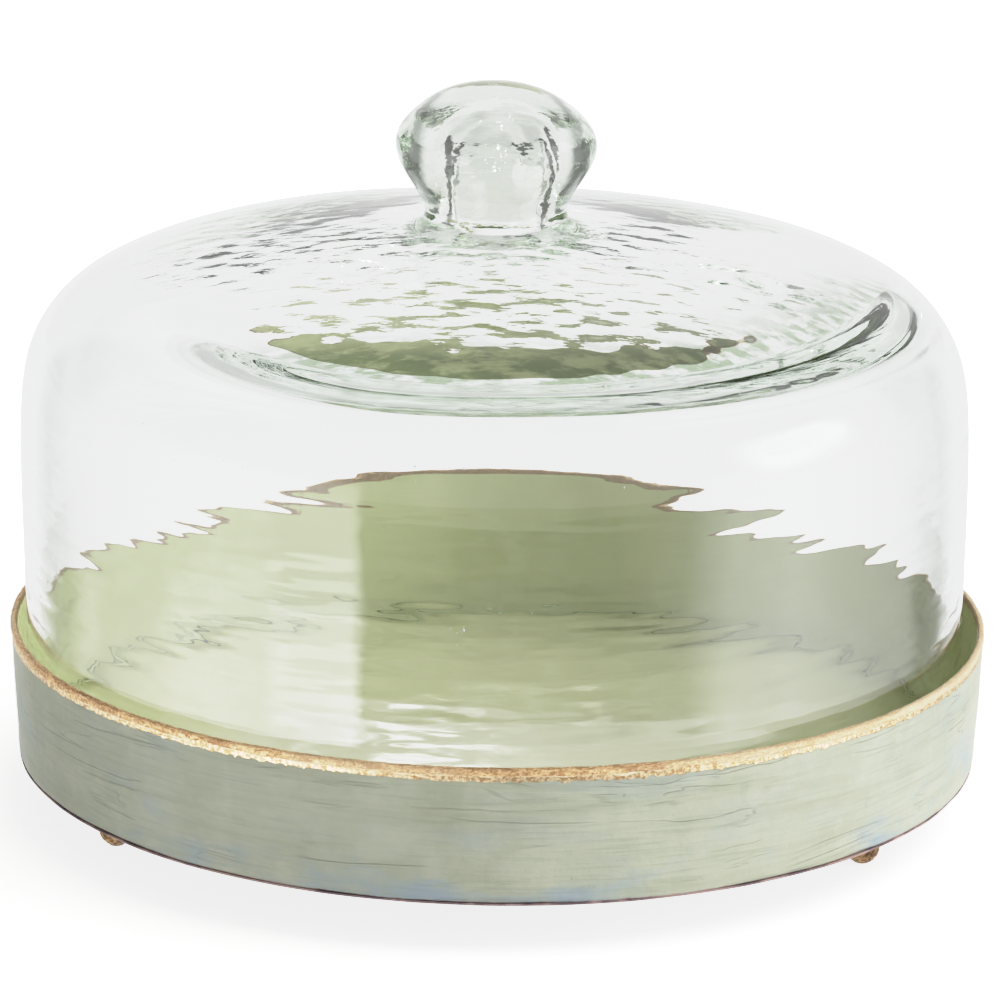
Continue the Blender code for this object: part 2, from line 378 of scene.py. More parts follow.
def enamel_outside():
    """Matt grey-green enamel with level brush marks, thin wrinkles, bluish clouds, a ragged gilt
    fringe under the rim and a worn brown lower edge."""
    net = new_material("enamel_outside")
    height = net.xyz["Z"]
    cloud = net.noise(size=0.055, detail=4, rough=0.55)
    mottle = net.noise(size=0.011, detail=4, rough=0.6, move=(2, 7, 1))
    brush = net.noise(size=0.0011, stretch=(22, 22, 1), rough=0.6, move=(4, 4, 9))
    broad = net.noise(size=0.005, stretch=(12, 12, 1), rough=0.55, move=(8, 3, 2))
    colour = net.layer(base=(0.370, 0.392, 0.290), mask=cloud, tint=(0.455, 0.480, 0.375),
                       span=(0.32, 0.68))
    colour = net.layer(colour, mottle, tint=(0.51, 0.525, 0.42), span=(0.40, 0.72), amount=0.60)
    colour = net.layer(colour, broad, tint=(0.345, 0.362, 0.265), span=(0.45, 0.72), amount=0.50)
    # bluish clouds, more of them low on the wall
    low = net.ramp(height, span=(BASE_Z + 24 * MM, BASE_Z + 4 * MM))
    blue = net.ramp(net.noise(size=0.034, stretch=(1.5, 1.5, 0.6), detail=4, rough=0.6,
                              move=(11, 5, 6)), span=(0.48, 0.66))
    colour = net.mix(net.times(blue, net.scale(low, by=0.55, plus=0.22)), colour,
                     tint=(0.30, 0.385, 0.47))
    # dark blue stains along the foot of the wall
    stain = net.ramp(net.noise(size=0.016, stretch=(2.2, 2.2, 0.5), move=(4, 9, 14)),
                     span=(0.60, 0.70))
    lowest = net.ramp(height, span=(BASE_Z + 9 * MM, BASE_Z + 2 * MM))
    colour = net.mix(net.times(stain, net.scale(lowest, by=0.5)), colour,
                     tint=(0.17, 0.24, 0.34))
    # fine brush marks
    colour = net.layer(colour, brush, tint=(0.30, 0.32, 0.25), span=(0.50, 0.72), amount=0.42)
    # long thin wrinkles
    line = net.math(
        "MAXIMUM",
        wrinkle(net, size=0.026, stretch=(2.6, 2.6, 0.42), move=(5, 2, 9), level=0.50,
                width=0.020, gap_move=(7, 7, 2), gap_start=0.54),
        wrinkle(net, size=0.019, stretch=(3.4, 3.4, 0.40), move=(1, 12, 4), level=0.54,
                width=0.018, gap_move=(3, 9, 5), gap_start=0.56))
    faint = wrinkle(net, size=0.012, stretch=(4.2, 4.2, 0.35), move=(8, 1, 13), level=0.47,
                    width=0.018, gap_move=(2, 4, 8), gap_start=0.58)
    line = net.math("MAXIMUM", line, net.scale(faint, by=0.6))
    colour = net.mix(net.scale(line, by=0.15), colour, tint=(0.225, 0.235, 0.18))
    # small dark specks
    cells = net.mapped(scale=(110, 110, 110), move=(5, 1, 8))
    specks = net.add("ShaderNodeTexVoronoi", {"Vector": cells, "Scale": 1.0}, feature="F1")
    dot = net.ramp(specks.outputs["Distance"], span=(0.035, 0.08), to=(1, 0))
    rare = net.ramp(net.noise(size=0.020, detail=1, move=(2, 2, 9)), span=(0.60, 0.66))
    colour = net.mix(net.scale(net.times(dot, rare), by=0.6), colour, tint=(0.16, 0.15, 0.11))
    # worn brown lower edge
    worn = net.ragged(height, net.noise(size=0.004, move=(6, 3, 3)), by=1.6 * MM,
                      plus=BASE_Z + 0.35 * MM, span=(-0.25 * MM, 0.30 * MM), to=(1, 0))
    brown = net.layer(base=(0.17, 0.115, 0.125), mask=mottle, tint=(0.42, 0.30, 0.28),
                      span=(0.4, 0.6))
    colour = net.mix(worn, colour, brown)
    # ragged gilt fringe at the top
    gilt = net.ragged(height, net.noise(size=0.0022, rough=0.6, move=(1, 1, 4)), by=-2.6 * MM,
                      plus=RIM_TOP - 2.75 * MM, span=(-0.12 * MM, 0.12 * MM))
    leaf = net.layer(base=(0.40, 0.25, 0.12), tint=(0.84, 0.66, 0.42), span=(0.38, 0.62),
                     mask=net.noise(size=0.0012, detail=4, rough=0.7, move=(4, 8, 8)))
    colour = net.mix(gilt, colour, leaf)
    normal = net.bump(brush, distance=0.00018)
    normal = net.bump(mottle, distance=0.0005, normal=normal)
    normal = net.bump(net.math("SUBTRACT", 1.0, line), distance=0.00022, normal=normal)
    normal = net.bump(gilt, distance=0.00025, normal=normal)
    return net.finish(Base_Color=colour, Normal=normal, Metallic=net.scale(gilt, by=0.85),
                      Roughness=net.scale(mottle, by=0.30, plus=0.32), IOR=1.38)


def gilt_edge():
    """Gold leaf over bronze: drawn out along the rim, brown where it has worn through and dark
    along the inner lip. Its ragged lower edge is pale, partly the leaf's own colour and partly a
    painted highlight, and it is painted paler towards the right as a painted highlight where the
    light falls."""
    net = new_material("gilt_edge")
    skin = net.add("ShaderNodeAttribute", attribute_name="skin").outputs["Vector"]
    x, y, z = net.xyz
    streak = net.noise(size=0.00075, stretch=(5.0, 5.0, 1), detail=4, rough=0.62, move=(1, 2, 3),
                       vector=skin)
    grain = net.noise(size=0.00052, stretch=(1.8, 1.8, 1), detail=4, rough=0.72, move=(5, 7, 2),
                      vector=skin)
    patch = net.noise(size=0.0024, stretch=(4.0, 4.0, 1), rough=0.6, move=(3, 9, 2), vector=skin)
    far = net.noise(size=0.050, detail=2, move=(2, 6, 1))
    colour = net.layer(base=(0.47, 0.275, 0.115), mask=streak, tint=(0.80, 0.555, 0.295),
                       span=(0.34, 0.66))
    colour = net.layer(colour, patch, tint=(0.30, 0.155, 0.065), span=(0.50, 0.66), amount=0.70)
    colour = net.layer(colour, grain, tint=(0.93, 0.78, 0.53), span=(0.54, 0.66), amount=0.55)
    colour = net.layer(colour, grain, tint=(0.30, 0.16, 0.07), span=(0.49, 0.39), amount=0.85)
    # painted highlight: paler towards the right, where the light falls; also paler in broad patches
    # of the leaf
    painted_highlight_and_patches = net.plus(net.scale(net.ramp(x, span=(0.02, 0.13)), by=0.45),
                    net.ramp(far, span=(0.45, 0.65), to=(0, 0.25)))
    colour = net.mix(painted_highlight_and_patches, colour, tint=(0.88, 0.73, 0.50))
    # pale ragged lower edge: partly the leaf's own paler edge, partly a painted highlight
    lower = net.ragged(z, patch, by=1.6 * MM, plus=RIM_TOP - 3.25 * MM,
                       span=(0.15 * MM, -0.25 * MM), to=(0, 0.75))
    colour = net.mix(lower, colour, tint=(0.93, 0.82, 0.60))
    reach = net.math("SQRT", net.plus(net.times(x, x), net.times(y, y)))
    inner_lip = net.ragged(reach, streak, by=-0.9 * MM, plus=RIM_R - 1.15 * MM,
                           span=(0.12 * MM, -0.22 * MM), to=(0, 0.75))
    colour = net.mix(inner_lip, colour, tint=(0.27, 0.165, 0.085))
    normal = net.bump(grain, distance=0.00030, normal=net.bump(streak, distance=0.00045))
    return net.finish(Base_Color=colour, Normal=normal, Metallic=0.58,
                      Roughness=net.ramp(grain, span=(0.3, 0.7), to=(0.66, 0.42)))


def aged_brass():
    """Rough brown brass with darker patches."""
    net = new_material("aged_brass")
    grain = net.noise(size=0.0010, detail=5, rough=0.7)
    patch = net.noise(size=0.0035, rough=0.6, move=(3, 9, 2))
    colour = net.layer(base=(0.075, 0.038, 0.016), mask=grain, tint=(0.38, 0.235, 0.105),
                       span=(0.36, 0.64))
    colour = net.layer(colour, patch, tint=(0.065, 0.034, 0.018), span=(0.46, 0.62), amount=0.85)
    return net.finish(Base_Color=colour, Normal=net.bump(grain, distance=0.0007), Metallic=0.85,
                      Roughness=net.ramp(grain, span=(0.3, 0.7), to=(0.65, 0.38)))


def clear_glass():
    """Clear glass with drawn rings round its wall, green where it is thick, with painted shade in
    the heavy crescent. Shadow and diffuse rays pass straight through it, which keeps what is under
    it lit."""
    net = new_material("clear_glass")
    side = net.add("ShaderNodeAttribute", attribute_name="side").outputs["Vector"]
    heavy = net.add("ShaderNodeAttribute", attribute_name="heavy").outputs["Fac"]
    y, z = net.xyz["Y"], net.xyz["Z"]
    # painted shade: the heavy crescent is painted dark bottle green in drawn-out streaks, standing
    # in for the dark band that refraction shows there, and the knob is a little smoky
    cords = net.noise(size=0.0040, stretch=(3.0, 0.9, 1.0), rough=0.6, move=(2, 8, 5))
    crescent_painted_shade = net.times(net.ramp(heavy, span=(0.32, 0.72)),
                     net.ramp(cords, span=(0.36, 0.58), to=(0.15, 1.0)))
    colour = net.mix(crescent_painted_shade, base=(0.985, 0.99, 0.99), tint=(0.150, 0.205, 0.115))
    colour = net.layer(colour, z, tint=(0.865, 0.880, 0.855),
                       span=(BASE_Z + 164 * MM, BASE_Z + 170 * MM))

    def rings(sizes, move, detail):
        """Noise of this size along each axis, different on the bell's two sides."""
        where = net.mapped(tuple(1 / size for size in sizes), move)
        where = net.vector("MULTIPLY_ADD", side, (0.0, 0.0, 37.0), where)
        return net.noise_at(where, detail, rough=0.45)

    wide = rings(sizes=(0.170, 0.170, 0.0056), move=(1, 4, 2), detail=0.6)
    short = rings(sizes=(0.034, 0.034, 0.0062), move=(6, 2, 8), detail=1.4)
    dimples = rings(sizes=(0.015, 0.015, 0.0050), move=(2, 9, 3), detail=1.2)
    fade = net.ramp(z, span=(BASE_Z + 121 * MM, BASE_Z + 104 * MM), to=(0.04, 1.0))
    rough = net.plus(net.scale(short, by=0.85), net.scale(dimples, by=0.22))
    relief = net.times(net.plus(net.scale(wide, by=0.58), rough), fade)
    # fine drawn ripples on the crown, strongest at the front
    fine = rings(sizes=(0.0060, 0.0030, 0.0030), move=(3, 3, 5), detail=2.2)
    on_crown = net.times(net.ramp(z, span=(BASE_Z + 150 * MM, BASE_Z + 154 * MM)),
                         net.ramp(y, span=(35 * MM, -45 * MM), to=(0.07, 1.0)))
    relief = net.plus(relief, net.scale(net.times(fine, on_crown), by=1.05))
    body = net.principled(Base_Color=colour, Roughness=0.0, Transmission_Weight=1.0, IOR=1.5,
                          Normal=net.bump(relief, distance=0.00027))
    clear = net.add("ShaderNodeBsdfTransparent", {"Color": (0.93, 0.945, 0.93)})
    path = net.add("ShaderNodeLightPath").outputs
    passing = net.math("MAXIMUM", path["Is Shadow Ray"], path["Is Diffuse Ray"])
    absorbed = net.add("ShaderNodeVolumeAbsorption",
                       {"Color": (0.80, 0.870, 0.785), "Density": 13.0})
    net.add("ShaderNodeOutputMaterial",
            {"Surface": net.mix_shader(passing, body, clear), "Volume": absorbed})
    return net.owner


def seed_glass():
    """Tiny bubbles, painted near-white and partly diffuse as a painted highlight for their glints,
    so they show as pale specks.
    """
    net = new_material("seed_glass")
    colour = net.mix(net.noise(size=0.0004, detail=1), base=(0.90, 0.92, 0.90),
                     tint=(1.0, 1.0, 1.0))
    return net.finish(Base_Color=colour, Roughness=0.15, Transmission_Weight=0.35, IOR=1.2,
                      Specular_IOR_Level=1.0)


INSIDE, OUTSIDE, GILT, BRASS = enamel_inside(), enamel_outside(), gilt_edge(), aged_brass()
GLASS, SEEDS = clear_glass(), seed_glass()


# ---------------------------------------------------------------- tray
def build_wall():
    """Rolled strip, its lower corner rounded over, enamel pooled in soft waves."""
    foot, top = BASE_Z + 0.75 * MM, RIM_TOP - 1.3 * MM
    foot_r, top_r = 148.15 * MM, 149.75 * MM
    thick = 1.9 * MM
    middle, middle_r = (foot + top) / 2, (foot_r + top_r) / 2
    outer = spline([(top_r, top), (top_r - 0.25 * MM, top - 8 * MM),
                    (middle_r + 0.10 * MM, middle), (foot_r + 0.25 * MM, foot + 7 * MM),
                    (foot_r + 0.02 * MM, foot + 1.6 * MM),
                    (foot_r - 0.35 * MM, foot + 0.35 * MM), (foot_r - 1.0 * MM, foot)],
                   0.75 * MM)
    inner = spline([(foot_r - thick + 0.25 * MM, foot), (foot_r - thick, foot + 1.6 * MM),
                    (middle_r - thick + 0.05 * MM, middle), (top_r - thick, top)], 0.9 * MM)
    split = len(outer)
    broad = waves(seed=11, count=40, shortest=0.030, longest=0.120)
    fine = waves(seed=12, count=60, shortest=0.006, longest=0.018, stretch=(1.6, 1.6, 1.0))
    edge = waves(seed=13, count=30, shortest=0.012, longest=0.060)

    def bumps(points, ring):
        move = 0.11 * MM * broad(points) + 0.016 * MM * fine(points)
        return limited(move, 0.28 * MM) * np.where(ring < split, 1.0, 0.6)

    def warp(points):
        """The lower edge wanders up and down."""
        low = smoothstep(foot + 8 * MM, foot, points[:, 2])
        points[:, 2] += low * limited(0.12 * MM * edge(in_plan(points)), 0.28 * MM)
        return points

    wall, _ = turned("tray_wall_enamelled", np.vstack([outer, inner]), 520, bumps, closed=True,
                     face_material=lambda i: 0 if i < split else 1, warp=warp)
    hand_over(wall, (OUTSIDE, INSIDE), "tray", ["tray_wall"], sharp=60)


def build_base():
    """Floor disc. Its edge is stepped: the wall stands on the flange."""
    step = BASE_Z + 0.7 * MM
    floor_r, flange_r = 146.15 * MM, 148.0 * MM
    top = [(r * MM, FLOOR_Z) for r in np.r_[0.0, np.arange(1.5, 145.2, 2.4)]]
    edge = [(floor_r - 0.3 * MM, FLOOR_Z), (floor_r, FLOOR_Z - 0.2 * MM), (floor_r, step),
            (flange_r - 0.2 * MM, step), (flange_r, step - 0.2 * MM),
            (flange_r - 0.05 * MM, BASE_Z + 0.35 * MM), (flange_r - 0.5 * MM, BASE_Z)]
    under = [(r * MM, BASE_Z) for r in np.r_[np.arange(145.0, 2.0, -6.0), 0.0]]
    tops = len(top)
    broad = waves(seed=21, count=40, shortest=0.035, longest=0.110)
    outline = waves(seed=22, count=40, shortest=0.010, longest=0.050)

    def bumps(points, ring):
        return np.where(ring < tops - 1, limited(0.09 * MM * broad(points), 0.22 * MM), 0.0)

    def warp(points):
        """The flange is not quite round."""
        r = np.hypot(points[:, 0], points[:, 1])
        share = smoothstep(147.0 * MM, 147.8 * MM, r)
        move = limited(0.10 * MM * outline(in_plan(points)), 0.22 * MM)
        points[:, :2] *= (1 + share * move / np.maximum(r, 1e-6))[:, None]
        return points

    base, _ = turned("tray_floor_enamelled", top + edge + under, 360, bumps,
                     face_material=lambda i: 0 if i < tops else 1, warp=warp)
    hand_over(base, (INSIDE, OUTSIDE), "tray", ["tray_base"], sharp=35)


def build_rim():
    """A rolled bead, lumpy with gesso and leaf, with a ragged underside."""
    centre_z, centre_r = RIM_TOP - 1.35 * MM, (RIM_R + RIM_INNER_R) / 2
    half_height, half_width = 1.25 * MM, (RIM_R - RIM_INNER_R) / 2 - 0.13 * MM
    corners = 22

    def squared(value, power):
        """Below 1, the power makes the oval section squarer."""
        return math.copysign(abs(value) ** power, value)

    profile = []
    for k in range(corners):
        angle = -math.pi * 0.62 - TAU * k / corners
        profile.append((centre_r + half_width * squared(math.cos(angle), 0.8),
                        centre_z + half_height * squared(math.sin(angle), 0.75)))
    fine = waves(seed=31, count=90, shortest=0.0012, longest=0.0045)
    broad = waves(seed=32, count=40, shortest=0.006, longest=0.030)
    fringe = waves(seed=33, count=50, shortest=0.003, longest=0.014)

    def bumps(points, ring):
        move = 0.045 * MM * fine(points) + 0.05 * MM * broad(points)
        return np.clip(move, -0.16 * MM, 0.10 * MM)

    def warp(points):
        under = smoothstep(centre_z + 0.2 * MM, centre_z - half_height, points[:, 2])
        drop = 0.22 * MM * (1 + fringe(in_plan(points)))
        points[:, 2] -= under * np.clip(drop, 0.0, 0.8 * MM)
        return points

    rim, ring = turned("gilt_rim_leafed", profile, 1400, bumps, closed=True, warp=warp)
    # texture place: x and y on the rim's centre circle, then the run round its section
    x, y, _ = vertex_places(rim).T
    reach = np.hypot(x, y)
    girth = TAU * (half_height + half_width) / 2
    run = np.linspace(0, girth, corners, endpoint=False)[ring]
    skin = np.stack([x / reach * centre_r, y / reach * centre_r, run], 1)
    add_attribute(rim, "skin", "FLOAT_VECTOR", skin)
    hand_over(rim, [GILT], "tray", ["gilt_rim"])


def build_foot(node, seed):
    """Turned ball on a waisted neck with a collar. Its skin is cast rough, then rubbed."""
    low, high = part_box(node)
    top = high.z
    ball_r = (high.x - low.x) / 2
    flat_r = 2.2 * MM              # where the ball stands
    neck_r = 2.6 * MM
    centre = math.sqrt(ball_r ** 2 - flat_r ** 2)
    collar = [(2.0 * MM, top), (4.0 * MM, top), (4.25 * MM, top - 0.4 * MM),
              (4.05 * MM, top - 1.1 * MM), (3.1 * MM, top - 1.6 * MM),
              (neck_r, (top + centre + ball_r) / 2 - 0.4 * MM)]
    first, last = math.asin(neck_r / ball_r) + 0.10, math.pi - math.asin(flat_r / ball_r)
    skin_r = ball_r - 0.06 * MM
    ball = [(skin_r * math.sin(angle), centre + skin_r * math.cos(angle))
            for angle in np.linspace(first, last, 34)]
    ball[-1] = (flat_r, 0.02 * MM)
    profile = np.vstack([[(0, top)], spline(collar, 0.35 * MM), ball,
                         [(flat_r - 0.25 * MM, 0.0), (1.0 * MM, 0.0), (0.0, 0.0)]])
    count = len(profile)
    fine = waves(seed=seed, count=70, shortest=0.0011, longest=0.0040)
    broad = waves(seed=seed + 1, count=30, shortest=0.005, longest=0.012)

    def bumps(points, ring):
        """Only inwards, and not on the two flat ends."""
        rough = (ring < count - 4) & (ring > 3)
        move = 0.06 * MM * fine(points) + 0.05 * MM * broad(points) - 0.05 * MM
        return np.where(rough, np.clip(move, -0.24 * MM, 0.0), 0.0)

    foot, _ = turned(node + "_cast", profile, 72, bumps)
    middle = ((low.x + high.x) / 2, (low.y + high.y) / 2, 0)
    foot.data.transform(Matrix.Translation(middle))
    hand_over(foot, [BRASS], "tray", [node], sharp=50)


# ---------------------------------------------------------------- bell and knob, one run of glass
def above(points):
    """Rows of (r, height above the tray's underside) in mm, as places in the frame."""
    return [(r * MM, BASE_Z + z * MM) for r, z in points]


# outlines, rows of (r, height above the tray's underside) in mm
KNOB_OUT = above([
    (0, 207.3), (5, 206.9), (10, 205.8), (16.8, 203.1), (22.6, 199.5), (27.2, 195.3),
    (29.8, 190.6), (30.1, 186.8), (28.9, 182.4), (26.7, 178.4), (24.1, 174.2), (22.3, 170.2),
    (21.7, 167.2), (22.6, 165.2), (25.5, 164.1), (31, 163.4)])
BELL_OUT = above([
    (31, 163.4), (40, 162.5), (50, 161.2), (62, 159.8), (75, 158.1), (86, 156.6), (95, 155.0),
    (103, 153.4), (110, 151.5), (116.5, 149.3), (122, 146.8), (127, 143.9), (131.2, 140.6),
    (135, 136.6), (138, 132.4), (140.6, 127.4), (142.5, 121.6), (143.7, 114.0), (144.3, 105.0),
    (144.5, 95), (144.5, 80), (144.3, 65), (144.2, 50), (144.3, 35), (144.6, 20), (144.9, 10),
    (145.0, 5.5)])
KNOB_IN = above([
    (15.6, 160.4), (13.4, 162.0), (12.1, 164.6), (11.6, 168.0), (11.5, 173.0), (12.0, 178.0),
    (12.7, 182.4), (12.4, 185.6), (11.0, 187.6), (8.2, 188.7), (5.0, 189.3), (2.4, 189.5),
    (0, 189.6)])
# a station runs with r down to the shoulder, then with the depth below it, in mm
SHOULDER_R, SHOULDER_Z = 138.0, 132.4
# rows of (station, thickness) in mm, from the neck to the lip
THICK = np.array([
    (24, 4.2), (34, 3.2), (44, 3.0), (56, 3.4), (70, 4.1), (84, 4.7), (96, 5.1), (112, 5.4),
    (125, 5.4), (134, 5.3), (140, 5.2), (148, 5.5), (156, 5.6), (166, 5.3), (182, 4.6),
    (200, 4.2), (240, 4.1), (262, 4.3), (268, 4.5)])
# glass gathered in a heavy crescent inside the shoulder, rows of (station, more thickness) in mm
CRESCENT = np.array([
    (0, 0), (46, 0), (56, 0.9), (70, 2.3), (84, 3.9), (94, 5.1), (100, 6.1), (103, 7.1),
    (106, 8.4), (109, 9.7), (112, 10.8), (114, 10.6), (116, 8.8), (118.5, 6.4), (121, 4.2),
    (125, 1.9), (129, 0.6), (134, 0), (400, 0)])
CRESCENT_STATIONS = np.arange(0.0, 200.0, 0.25)
CRESCENT_THICK = smooth_values(np.interp(CRESCENT_STATIONS, *CRESCENT.T), half=24, sigma=7.0)

# random fields of the bell: seed, number of waves, shortest and longest in metres, stretch
BELL_FIELDS = {name: waves(*row) for name, row in {
    "crown_outside": (41, 140, 0.0058, 0.0125, (1.35, 1.0, 1.0)),
    "crown_inside": (42, 140, 0.0062, 0.0130, (1.35, 1.0, 1.0)),
    "crown_broad": (48, 40, 0.016, 0.040),
    "both_sides": (43, 50, 0.040, 0.110),
    "thickness": (44, 50, 0.024, 0.060, (1.3, 1.3, 0.8)),
    "knob_lumps": (45, 50, 0.014, 0.040),
    "knob_fine": (46, 60, 0.006, 0.014),
    "hollow_lumps": (49, 60, 0.007, 0.022, (1.0, 1.0, 1.6)),
    "hollow_grit": (50, 80, 0.0026, 0.006),
    "wall_inside": (47, 60, 0.010, 0.024, (1.2, 1.2, 0.9)),
}.items()}

# the bell has slid towards -X and leans that way
LEAN = math.tan(math.radians(0.55))
SLIP = 0.65 * MM


def leaning(x, z):
    return x - (SLIP + LEAN * (z - LIP_Z))


def station(r, height):
    return np.where(height > SHOULDER_Z * MM, np.minimum(r / MM, SHOULDER_R),
                    SHOULDER_R + (SHOULDER_Z - height / MM))


def gathered(points):
    """Extra thickness of the crescent, which lies round the front and the right."""
    r, height = np.hypot(points[:, 0], points[:, 1]), points[:, 2] - BASE_Z
    from_x = np.degrees(np.arctan2(points[:, 1], points[:, 0]))
    from_front = (from_x + 90.0 + 180.0) % 360.0 - 180.0     # positive towards +X
    extra = np.interp(station(r, height), CRESCENT_STATIONS, CRESCENT_THICK) * MM
    return extra * smoothstep(-62, -10, from_front) * smoothstep(112, 72, from_front)


def bell_sections():
    """Finely spaced outlines of the bell's outside and inside, both going down."""
    outer = soften(spline(BELL_OUT, 0.25 * MM), 3.0 * MM)
    along = np.gradient(outer, axis=0)
    along /= np.linalg.norm(along, axis=1)[:, None]
    inward = np.stack([along[:, 1], -along[:, 0]], 1)
    stations = np.maximum.accumulate(station(outer[:, 0], outer[:, 1] - BASE_Z))
    thick = smooth_values(np.interp(stations, *THICK.T) * MM, half=60, sigma=11.0)
    return outer, outer + inward * thick[:, None]


def bell_gap(z):
    """Distance between rings, wider down the wall."""
    return (1.35 + 1.5 * smoothstep(134 * MM, 120 * MM, z - BASE_Z)) * MM


def build_bell():
    knob = spline(KNOB_OUT, 1.25 * MM)
    outer, inner = bell_sections()
    outside = spaced(outer, bell_gap)
    inside = spaced(inner[::-1], bell_gap)
    hollow = spline(np.vstack([[inside[-1]], KNOB_IN]), 1.3 * MM)
    start, end = outside[-1], inside[0]
    lip = spline([start, (start[0] - 0.25 * MM, LIP_Z + 1.5 * MM),
                  (start[0] - 1.4 * MM, LIP_Z + 0.25 * MM), ((start[0] + end[0]) / 2, LIP_Z),
                  (end[0] + 1.3 * MM, LIP_Z + 0.3 * MM), (end[0] + 0.15 * MM, LIP_Z + 1.7 * MM),
                  end], 0.95 * MM)
    parts = [knob, outside[1:], lip[1:-1], inside, hollow[1:]]
    knob_end, outer_end, lip_end, inner_end, _ = np.cumsum([len(part) for part in parts])

    def bumps(points, ring):
        x, y, z = points.T
        r, height = np.hypot(x, y), z - BASE_Z
        value = {name: field(points) for name, field in BELL_FIELDS.items()}
        on_outer, on_inner = ring < outer_end, (ring >= lip_end) & (ring < inner_end)
        # the crown's ripples are strongest at the front, and fade towards the neck
        near = smoothstep(22 * MM, -48 * MM, y) * smoothstep(-108 * MM, -45 * MM, x)
        crown = smoothstep(120 * MM, 104 * MM, r) * smoothstep(120 * MM, 140 * MM, height)
        crown = crown * (0.20 + 1.02 * near)
        crown = crown * (1.0 - 0.30 * smoothstep(98 * MM, 105 * MM, r))
        away = smoothstep(26 * MM, 38 * MM, r)
        patchy = 0.75 + 0.25 * np.clip(value["crown_broad"], -2, 2)
        # both sides move the same way, then each has its own relief
        move = 0.10 * MM * value["both_sides"] * np.where(on_outer, 1.0, -1.0)
        move += 0.185 * MM * on_outer * crown * away * patchy * value["crown_outside"]
        move += 0.030 * MM * on_outer * crown * away * value["crown_broad"]
        move += 0.200 * MM * on_inner * crown * patchy * value["crown_inside"]
        move += np.where(on_inner, gathered(points), 0.0)
        move += 0.018 * MM * on_inner * value["thickness"]
        move += 0.006 * MM * on_inner * (1 - crown) * value["wall_inside"]
        on_knob = smoothstep(164.8 * MM, 169 * MM, height) * (ring < knob_end)
        knob_move = 0.20 * MM * value["knob_lumps"] + 0.022 * MM * value["knob_fine"]
        move = move * (1 - on_knob) + knob_move * on_knob
        # the knob's hollow is lumpy, with grit at its upper end
        grit = smoothstep(178 * MM, 184 * MM, height) * 0.07 * MM * value["hollow_grit"]
        in_hollow = 0.34 * MM * value["hollow_lumps"] + grit
        move = np.where(ring >= inner_end,
                        smoothstep(160 * MM, 164 * MM, height) * in_hollow, move)
        move[(ring >= outer_end) & (ring < lip_end)] *= 0.4
        return move

    def warp(points):
        points[:, 0] = leaning(points[:, 0], points[:, 2])
        return points

    bell, ring = turned("blown_glass_bell_with_knob", np.vstack(parts), 330, bumps, warp=warp)
    # side is 1 on the inside; heavy is the crescent's share of its greatest thickness, which sets
    # where the glass is painted dark as painted shade
    side = np.where(ring >= lip_end, 1.0, 0.0)
    add_attribute(bell, "side", "FLOAT_VECTOR", np.repeat(side, 3))
    share = gathered(vertex_places(bell)) / CRESCENT_THICK.max() / MM
    heavy = np.where((ring >= lip_end) & (ring < inner_end), share, 0.0)
    add_attribute(bell, "heavy", "FLOAT", heavy)
    hand_over(bell, [GLASS], "bell", ["glass_bell", "glass_knob"])


def build_seeds():
    """Bubbles caught in the wall of the bell, in loose strings and clusters."""
    rng = np.random.default_rng(77)
    bubbles = bmesh.new()
    outline = np.array(BELL_OUT)
    crown_line = outline[:14]
    crown_z = BASE_Z + 150 * MM
    for _ in range(64):
        cluster_theta = rng.uniform(0, TAU)
        i = rng.integers(0, len(outline) - 1)
        share = rng.uniform()
        cluster_r, cluster_z = outline[i] * (1 - share) + outline[i + 1] * share
        for _ in range(rng.integers(1, 6)):
            theta = cluster_theta + rng.normal(0, 0.035)
            z = cluster_z + rng.normal(0, 2.2 * MM)
            z = float(np.clip(z, BASE_Z + 12 * MM, BASE_Z + 158 * MM))
            if z < crown_z:
                r = float(np.interp(z, outline[::-1, 1], outline[::-1, 0])) - 2.1 * MM
                z -= 0.6 * MM
            else:
                r = cluster_r
                z = float(np.interp(r, crown_line[:, 0], crown_line[:, 1])) - 2.2 * MM
            place = Vector((leaning(r * math.cos(theta), z), r * math.sin(theta), z))
            radius = float(np.clip(rng.lognormal(math.log(0.16), 0.45), 0.09, 0.42)) * MM
            tall = Matrix.Diagonal((1, 1, rng.uniform(0.8, 1.5), 1))
            bmesh.ops.create_icosphere(bubbles, subdivisions=1, radius=radius,
                                       matrix=Matrix.Translation(place) @ tall)
    mesh = bpy.data.meshes.new("glass_seeds")
    bubbles.to_mesh(mesh)
    bubbles.free()
    mesh.shade_smooth()
    hand_over(linked("glass_seeds", mesh), [SEEDS], "bell")


build_wall()
build_base()
build_rim()
for number, foot_node in enumerate(FEET):
    build_foot(foot_node, seed=60 + 5 * number)
build_bell()
build_seeds()


# ---------------------------------------------------------------- surroundings
# What the glass and the glaze mirror and bend turns with the camera: a white sweep behind the
# object, a dark strip and a white card to each side, and the dark of the camera's side.
# Rows of (turn to the right of the line of sight in degrees, brightness).
AROUND = [
    (-180, 0.34), (-149, 0.34), (-147, 3.6), (-110, 3.4), (-84, 2.3), (-62, 1.2), (-55, 0.50),
    (-44, 0.50), (-34, 1.36), (0, 1.46), (34, 1.36), (44, 0.50), (55, 0.50), (62, 1.2),
    (84, 2.4), (104, 3.8), (122, 3.4), (134, 0.9), (150, 0.34), (180, 0.34)]
# rows of (elevation in degrees, brightness)
SKY = [(-20, 1.1), (0, 1.22), (14, 1.15), (30, 1.0), (50, 0.80), (90, 0.75)]


